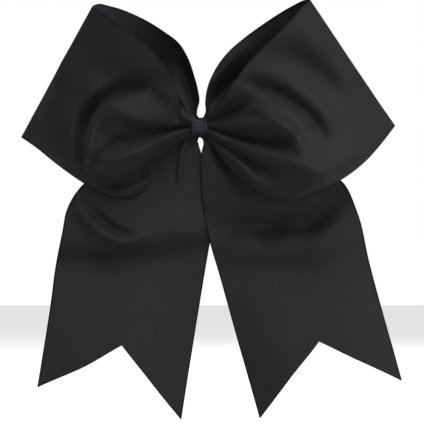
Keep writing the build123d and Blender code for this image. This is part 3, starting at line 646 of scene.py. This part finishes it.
def waxed_thread():
    material, nodes, surface = new_material("waxed_black_thread")
    uv = nodes.add("UVMap", uv_map="UVMap").outputs[0]
    bands = nodes.add("TexWave", {"Scale": 160.0, "Distortion": 1.5, "Vector": uv},
                      wave_type="BANDS", bands_direction="DIAGONAL").outputs["Fac"]
    nodes.feed(surface, {
        "Base Color": nodes.colours(bands, dark=(0.006, 0.006, 0.007), light=(0.05, 0.05, 0.055)),
        "Normal": nodes.bump(bands, strength=0.6, distance=0.00005),
        "Roughness": 0.38,
    })
    return material


def hot_glue():
    material, nodes, surface = new_material("hot_glue")
    position = nodes.add("TexCoord").outputs["Object"]
    cloud = nodes.noise(position, scale=700.0, detail=3.0)
    nodes.feed(surface, {
        "Base Color": nodes.colours(cloud, dark=(0.52, 0.46, 0.34), light=(0.78, 0.74, 0.62)),
        "Normal": nodes.bump(cloud, strength=0.4, distance=0.0001),
        "Roughness": 0.3,
        "Subsurface Weight": 0.35,
        "Subsurface Scale": 0.001,
    })
    return material


def plated(name, dark, light, rough, streak):
    """Plated steel: fine drawing marks, a little clouding, lighter on sharp convex edges."""
    material, nodes, surface = new_material(name)
    position = nodes.add("TexCoord").outputs["Object"]
    stretched = nodes.add("Mapping", {"Scale": streak, "Vector": position}).outputs[0]
    marks = nodes.noise(stretched, scale=9.0, detail=4.0)
    cloud = nodes.noise(position, scale=220.0, detail=3.0)
    # The colour is lighter where the surface is sharply convex.
    pointiness = nodes.add("NewGeometry").outputs["Pointiness"]
    sharp_edge_lift = nodes.scaled(pointiness, gain=4.0, plus=-1.85)
    factor = nodes.scaled(cloud, gain=0.6, plus=sharp_edge_lift, clamp=True)
    nodes.feed(surface, {
        "Base Color": nodes.colours(factor, dark, light),
        "Roughness": nodes.scaled(marks, gain=0.22, plus=rough - 0.11),
        "Normal": nodes.bump(marks, strength=0.35, distance=0.00002),
        "Metallic": 1.0,
    })
    return material


# ------------------------------------------------------------------ loops and tails
def make_loop(side, front, back, strokes, offsets):
    """Front net, turned over the outer fold into the back net: one sheet from knot to knot."""
    sheet = np.concatenate([net(front, NET_S, NET_V), net(back, NET_S, NET_V)[::-1][1:]])
    cols = ribbon_columns(46)
    rows = int(round(2 * LOOP_LEN / RIB_PITCH * ROWS_PER_RIB))
    fine = upsample(sheet, rows, cols)
    half = rows // 2
    face = fine[:half]
    flat = face.copy()
    sculpt(face, strokes)
    # Leave the outer fold alone.
    ease = np.clip((half - np.arange(half)) / (rows * 0.03), 0, 1)[:, None, None]
    face[:] = flat + (face - flat) * ease
    lean(fine, offsets)
    piece = sheet_mesh(f"{side}_loop_ribbon", fine, 2 * LOOP_LEN, cols)
    dress(piece, ribbon_material, "ribbon", f"{side}_loop")
    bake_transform(piece)


def mean_length(grid):
    return np.linalg.norm(np.diff(grid, axis=0), axis=-1).sum(axis=0).mean()


def cut_lengths(rays, cut):
    """Ribbon lengths from the knot at which the two selvedges and the mid line are cut."""
    samples = 400
    track = net(rays, samples, NET_V)[..., [0, 2]]
    length = mean_length(net(rays, 60, NET_V))
    lengths = []
    for column, point in zip((0, (NET_V - 1) // 2, NET_V - 1), cut):
        nearest = np.argmin(np.linalg.norm(track[:, column] - np.array(point), axis=1))
        lengths.append(np.linspace(0, 1, samples)[nearest] * length)
    return lengths


def make_tail(side, rays, strokes, cut):
    base = net(rays, 100, NET_V)
    length = mean_length(base)
    cols = ribbon_columns(48)
    fine = upsample(base, int(round(length / RIB_PITCH * ROWS_PER_RIB)), cols)
    sculpt(fine, strokes)
    notch = cols[np.argmin(abs(cols - 0.5))]
    lengths = cut_lengths(rays, cut)
    piece = sheet_mesh(f"{side}_tail_ribbon", fine, length, cols,
                       cut_at=lambda place: np.interp(place, [0, notch, 1], lengths))
    dress(piece, ribbon_material, "ribbon", f"{side}_tail_upper", f"{side}_tail_end")

    # Direction down the tail across the swing joint's axis; nothing uses it.
    joint = joints[f"{side}_tail_swing"]
    down = np.cross(np.array(joint["axis"]), (0, 1, 0))
    down = down / np.linalg.norm(down)
    if down[2] > 0:
        down = -down
    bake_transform(piece)


# ------------------------------------------------------------------ knot and glue
# Bands round the wrap: height, centre across (-1..1), sway, sways per turn, phase, width.
WRAP_BANDS = [
    (-0.22, 0.0, 0.0, 0, 0.0, 0.42),
    (0.20, 0.74, 0.05, 2, 1.0, 0.10),
    (0.20, -0.74, -0.05, 2, 1.0, 0.10),
    (-0.22, 0.52, 0.06, 2, 0.4, 0.07),
    (-0.20, -0.48, 0.05, 3, 2.0, 0.07),
    (-0.05, 0.12, 0.08, 2, 0.0, 0.05),
]
# Puckers across it: height, waves per turn, slant, width.
WRAP_PUCKERS = [(0.05, 17, 4.0, 0.35), (0.05, 29, -3.0, 0.5)]


def make_wrap():
    """Narrow ribbon wound round the knot, waisted and creased by its own pull."""
    ribs = 96
    drop = -0.10               # the wrap sits a little low on the knot
    steps, outer_steps, inner_steps = 220, 64, 18
    low, high = mm_box("centre_wrap")
    half_y, half_z = (high[1] - low[1]) / 2, (high[2] - low[2]) / 2
    middle_y = (high[1] + low[1]) / 2
    half_width = high[0] + 0.18
    across = np.concatenate([np.linspace(-1, 1, outer_steps),
                             np.linspace(0.97, -0.97, inner_steps)])
    is_outer = np.arange(len(across)) < outer_steps
    turn, place = np.meshgrid(np.linspace(0, 2 * np.pi, steps, endpoint=False), across,
                              indexing="ij")
    crease = np.zeros_like(turn)
    for height, centre, sway, sways, phase, width in WRAP_BANDS:
        offset = place - centre - sway * np.sin(sways * turn + phase)
        crease += height * np.exp(-((offset / width) ** 2))
    for height, waves, slant, width in WRAP_PUCKERS:
        crease += height * np.sin(waves * turn + slant * place) * np.exp(-((place / width) ** 2))
    lip = -0.16 * np.clip((np.abs(place) - 0.93) / 0.07, 0, 1) ** 2
    rib = 0.045 * np.sin(turn * ribs) * np.clip((1 - np.abs(place)) / 0.08, 0, 1)
    raised = np.where(is_outer, -0.16 + crease + lip + rib, -0.85 + 0.5 * crease)
    y, z = oval(turn, half_y, half_z, power=3.4)
    grow = 1 + raised / np.hypot(y, z)
    edge_x = half_width * (1 - 0.03 * np.sin(5 * turn + 0.7) * np.abs(place) ** 4
                           - 0.05 * np.sin(2 * turn) ** 2)
    grid = np.stack([place * edge_x, middle_y + y * grow, drop + z * grow], -1)
    perimeter = 2 * np.pi * (half_y + half_z) / 2 * 1.08
    widths = np.append(across, across[0]) * half_width + half_width
    uv = uv_grid(np.linspace(0, perimeter, steps + 1), widths)
    piece = grid_mesh("centre_wrap_ribbon", grid, uv, ring=True)
    material = grosgrain("black_wrap_ribbon", dark=(0.0085, 0.008, 0.0115),
                         light=(0.032, 0.0305, 0.0405), pitch=perimeter / ribs,
                         sheen=0.04, rough=0.62)
    dress(piece, material, "wrap", "centre_wrap")
    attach(piece, "root")


def make_core():
    """Gathered knot: the ribbon's full width pleated into a bundle."""
    rows, sides = 90, 264
    pleats = 11
    _, high = mm_box("gathered_core")
    x, turn = np.meshgrid(np.linspace(-1, 1, rows),
                          np.linspace(0, 2 * np.pi, sides, endpoint=False), indexing="ij")
    waist = 1 - 0.10 * np.exp(-((x / 0.5) ** 2))
    pleat = 0.5 + 0.5 * np.cos(pleats * turn + 0.8 * np.sin(3 * turn) + 0.5 * x)
    squeeze = waist * (0.76 + 0.16 * pleat ** 0.6 + 0.02 * np.sin(90 * x))
    y, z = oval(turn, high[1], high[2], power=2.4)
    grid = np.stack([x * high[0] * (1 - 0.05 * pleat), y * squeeze, z * squeeze], -1)
    uv = uv_grid(np.linspace(0, 2 * high[0], rows), np.linspace(0, 23, sides + 1))
    piece = grid_mesh("gathered_knot", grid, uv)
    dress(piece, ribbon_material, "ribbon", "gathered_core")
    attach(piece, "root")


def make_thread():
    """Waxed thread wound tight round the bundle."""
    turns = 6.5
    low, high = mm_box("binding_thread")
    along = np.linspace(0, 1, 420)
    y, z = oval(along * turns * 2 * np.pi, high[1] - 0.27, high[2] - 0.27, power=2.4)
    x = low[0] + 0.25 + (high[0] - low[0] - 0.5) * along
    piece = tube("binding_thread_winding", np.stack([x, y, z], -1), radius=0.24, sides=10,
                 twist=5.0, strands=3, depth=0.16)
    dress(piece, waxed_thread(), "thread", "binding_thread")
    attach(piece, "root")


def make_glue():
    """Pressed bead of hot glue, uneven round its rim."""
    rows, sides = 26, 96
    low, high = mm_box("glue_pad")
    rise, turn = np.meshgrid(np.linspace(0, np.pi, rows),
                             np.linspace(0, 2 * np.pi, sides, endpoint=False), indexing="ij")
    x, z = oval(turn, high[0] - 0.1, high[2] - 0.1, power=2.6)
    swell = np.sin(rise) ** 0.45 * (1 + 0.03 * np.sin(3 * turn + 1) + 0.02 * np.sin(7 * turn))
    y = (low[1] + high[1]) / 2 - np.cos(rise) * (high[1] - low[1]) / 2 * 0.98
    grid = np.stack([x * swell * 0.96, y, z * swell * 0.96], -1)
    uv = uv_grid(np.linspace(0, 5, rows), np.linspace(0, 30, sides + 1))
    piece = grid_mesh("glue_bead", grid, uv)
    dress(piece, hot_glue(), "glue", "glue_pad")
    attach(piece, "root")


# ------------------------------------------------------------------ clip
def make_lining():
    """Narrow grosgrain along the jaw, turned round its nose."""
    pitch = 0.5
    low, high = mm_box("clip_lining")
    width = high[2] - low[2]
    front_y, back_y, nose = low[1] + 0.21, high[1] - 0.21, high[0] - 0.22
    radius = (back_y - front_y) / 2
    bend_x = nose - radius
    front = [(x, front_y) for x in (low[0] + 0.1, -12.0, 0.0, 14.0, bend_x - 0.3)]
    bend = [(bend_x + radius * math.sin(a), (front_y + back_y) / 2 - radius * math.cos(a))
            for a in np.linspace(0.25, math.pi - 0.25, 9)]
    back = [(x, back_y) for x in (bend_x - 0.3, 16.0, 9.2)]
    line = np.array([(x, y, 0.0) for x, y in front + bend + back])
    arc = arc_lengths(line)
    places = np.linspace(0, arc[-1], int(arc[-1] / pitch * 6))
    middle = np.stack([np.interp(places, arc, line[:, axis]) for axis in range(3)], -1)
    cols = columns([0.0, 0.03, 0.08], inset=0.14, count=12)
    upward = np.array([0, 0, 1.0])
    grid = middle[:, None, :] + upward * (cols[None, :, None] - 0.5) * (width - 0.05)
    piece = sheet_mesh("clip_lining_ribbon", grid, arc[-1], cols, width=width, thick=0.3,
                       rib=0.045, pitch=pitch)
    material = grosgrain("black_lining_ribbon", dark=(0.008, 0.008, 0.009),
                         light=(0.034, 0.034, 0.037), pitch=pitch, sheen=0.06, rough=0.65)
    dress(piece, material, "lining", "clip_lining")
    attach(piece, "root")


def make_spring():
    """Close-wound torsion coil with a leg to each jaw; the coil takes up the twist."""
    coil_radius, wire_radius, turns = 1.15, 0.18, 5.5
    pin_low, pin_high = mm_box("clip_hinge_pin")
    pin_x, pin_y = (pin_low[0] + pin_high[0]) / 2, (pin_low[1] + pin_high[1]) / 2
    low, high = mm_box("clip_spring")
    bottom, top = low[2] + wire_radius + 0.02, high[2] - wire_radius - 0.02
    along = np.linspace(0, 1, 260)
    angle = -math.pi / 2 - along * turns * 2 * math.pi
    coil = np.stack([pin_x + coil_radius * np.cos(angle), pin_y + coil_radius * np.sin(angle),
                     bottom + (top - bottom) * along], -1)
    lower_leg = [(-20.0, 7.07), (-16.0, 7.32), (-13.0, 7.60), (pin_x - 0.7, 7.80)]
    upper_leg = [(pin_x - 0.8, pin_y + coil_radius - 0.02), (-13.8, 10.28), (-16.0, 11.22),
                 (-18.4, 12.28), (-20.5, 13.2)]
    wire = np.concatenate([
        spline([(x, y, bottom) for x, y in lower_leg], np.linspace(0, 1, 26)),
        coil,
        spline([(x, y, top) for x, y in upper_leg], np.linspace(0, 1, 30)),
    ])
    piece = tube("clip_spring_wire", wire, radius=wire_radius, sides=14)
    steel = plated("spring_steel", dark=(0.20, 0.20, 0.21), light=(0.46, 0.46, 0.47),
                   rough=0.34, streak=(500.0, 500.0, 500.0))
    dress(piece, steel, "spring_steel", "clip_spring")
    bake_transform(piece)


def plate_clip(nickel):
    for node in ("clip_fixed_jaw", "clip_moving_jaw", "clip_hinge_pin"):
        piece = frame["nodes"][node]
        if not piece.data.materials:
            piece.data.materials.append(nickel)
        for slot in piece.material_slots:
            slot.link = "OBJECT"
            slot.material = nickel


# ------------------------------------------------------------------ stage, light, camera
FLOOR_DROP = 0.006             # floor below the lowest CAD point, m
FLOOR_GLOW = 0.74              # floor emission, seen by the camera only
AMBIENT = 0.015                # how much the white surroundings light the bow
AIM = (0, 0, -0.02)            # where every light points
LIGHT_SIZE = (0.8, 0.6)
LIGHTS = [                     # name, location in metres, watts
    ("key", (0.28, -0.86, 0.86), 8.3),
    ("front", (0.10, -1.40, 0.05), 3.9),
    ("right_side", (1.25, -0.30, 0.10), 3.4),
    ("top", (0.10, -0.35, 1.25), 2.6),
    ("left_high", (-0.70, -0.90, 0.70), 0.7),
    ("back", (0.35, 1.10, 0.70), 9.0),
]
SENSOR_WIDTH = 36.0
CAMERA_DISTANCE = 2.2
VIEW_WIDTH = 0.21412           # width seen at the knot, m


def make_floor():
    bpy.ops.mesh.primitive_plane_add(size=6.0, location=(0, 0, cad_box[0][2] - FLOOR_DROP))
    floor = bpy.context.object
    floor.name = "floor"
    material, nodes, surface = new_material("pale_floor")
    to_camera = nodes.add("LightPath").outputs["Is Camera Ray"]
    nodes.feed(surface, {
        "Base Color": (0.58, 0.58, 0.58, 1),
        "Roughness": 0.9,
        "Emission Color": (1, 1, 1, 1),
        "Emission Strength": nodes.math("MULTIPLY", to_camera, FLOOR_GLOW),
    })
    floor.data.materials.append(material)


def make_world():
    """White to the camera, nearly dark to the bow."""
    world = bpy.data.worlds.new("studio")
    bpy.context.scene.world = world
    world.use_nodes = True
    nodes = Nodes(world.node_tree)
    to_camera = nodes.add("LightPath").outputs["Is Camera Ray"]
    strength = nodes.scaled(to_camera, gain=1.0 - AMBIENT, plus=AMBIENT)
    nodes.feed(world.node_tree.nodes["Background"], {0: (1, 1, 1, 1), 1: strength})


def make_lights():
    for name, location, watts in LIGHTS:
        light = bpy.data.lights.new(name, "AREA")
        light.shape = "RECTANGLE"
        light.size, light.size_y = LIGHT_SIZE
        light.energy = watts
        lamp = link_object(name, light)
        lamp.location = location
        direction = Vector(AIM) - Vector(location)
        lamp.rotation_euler = direction.to_track_quat("-Z", "Y").to_euler()


def make_camera():
    scene = bpy.context.scene
    scene.view_settings.view_transform = "Standard"
    scene.view_settings.look = "None"
    lens = bpy.data.cameras.new("camera")
    lens.sensor_width = SENSOR_WIDTH
    lens.lens = SENSOR_WIDTH * CAMERA_DISTANCE / VIEW_WIDTH
    camera = link_object("camera", lens)
    camera.location = (0.00631, -CAMERA_DISTANCE, -0.04267)
    camera.rotation_euler = (math.radians(90), 0, 0)
    scene.camera = camera


# ------------------------------------------------------------------ build
ribbon_material = grosgrain("black_grosgrain", dark=(0.0072, 0.0072, 0.0082),
                            light=(0.030, 0.030, 0.033), sheen=0.05, selvedge_of=RIBBON_W)
joints = {joint["name"]: joint for joint in frame["record"]["behaviour"]["joints"]}

make_loop("left", LEFT_FRONT, LEFT_BACK, LEFT_STROKES, LEFT_LEAN)
make_loop("right", RIGHT_FRONT, RIGHT_BACK, RIGHT_STROKES, RIGHT_LEAN)
make_tail("left", LEFT_TAIL, LEFT_TAIL_STROKES, LEFT_CUT)
make_tail("right", RIGHT_TAIL, RIGHT_TAIL_STROKES, RIGHT_CUT)
make_wrap()
make_core()
make_thread()
make_glue()
make_lining()
nickel_plate = plated("nickel_plated_steel", dark=(0.42, 0.41, 0.39), light=(0.70, 0.69, 0.66),
                      rough=0.30, streak=(60.0, 900.0, 900.0))
make_spring()
plate_clip(nickel_plate)
make_floor()
make_world()
make_lights()
make_camera()
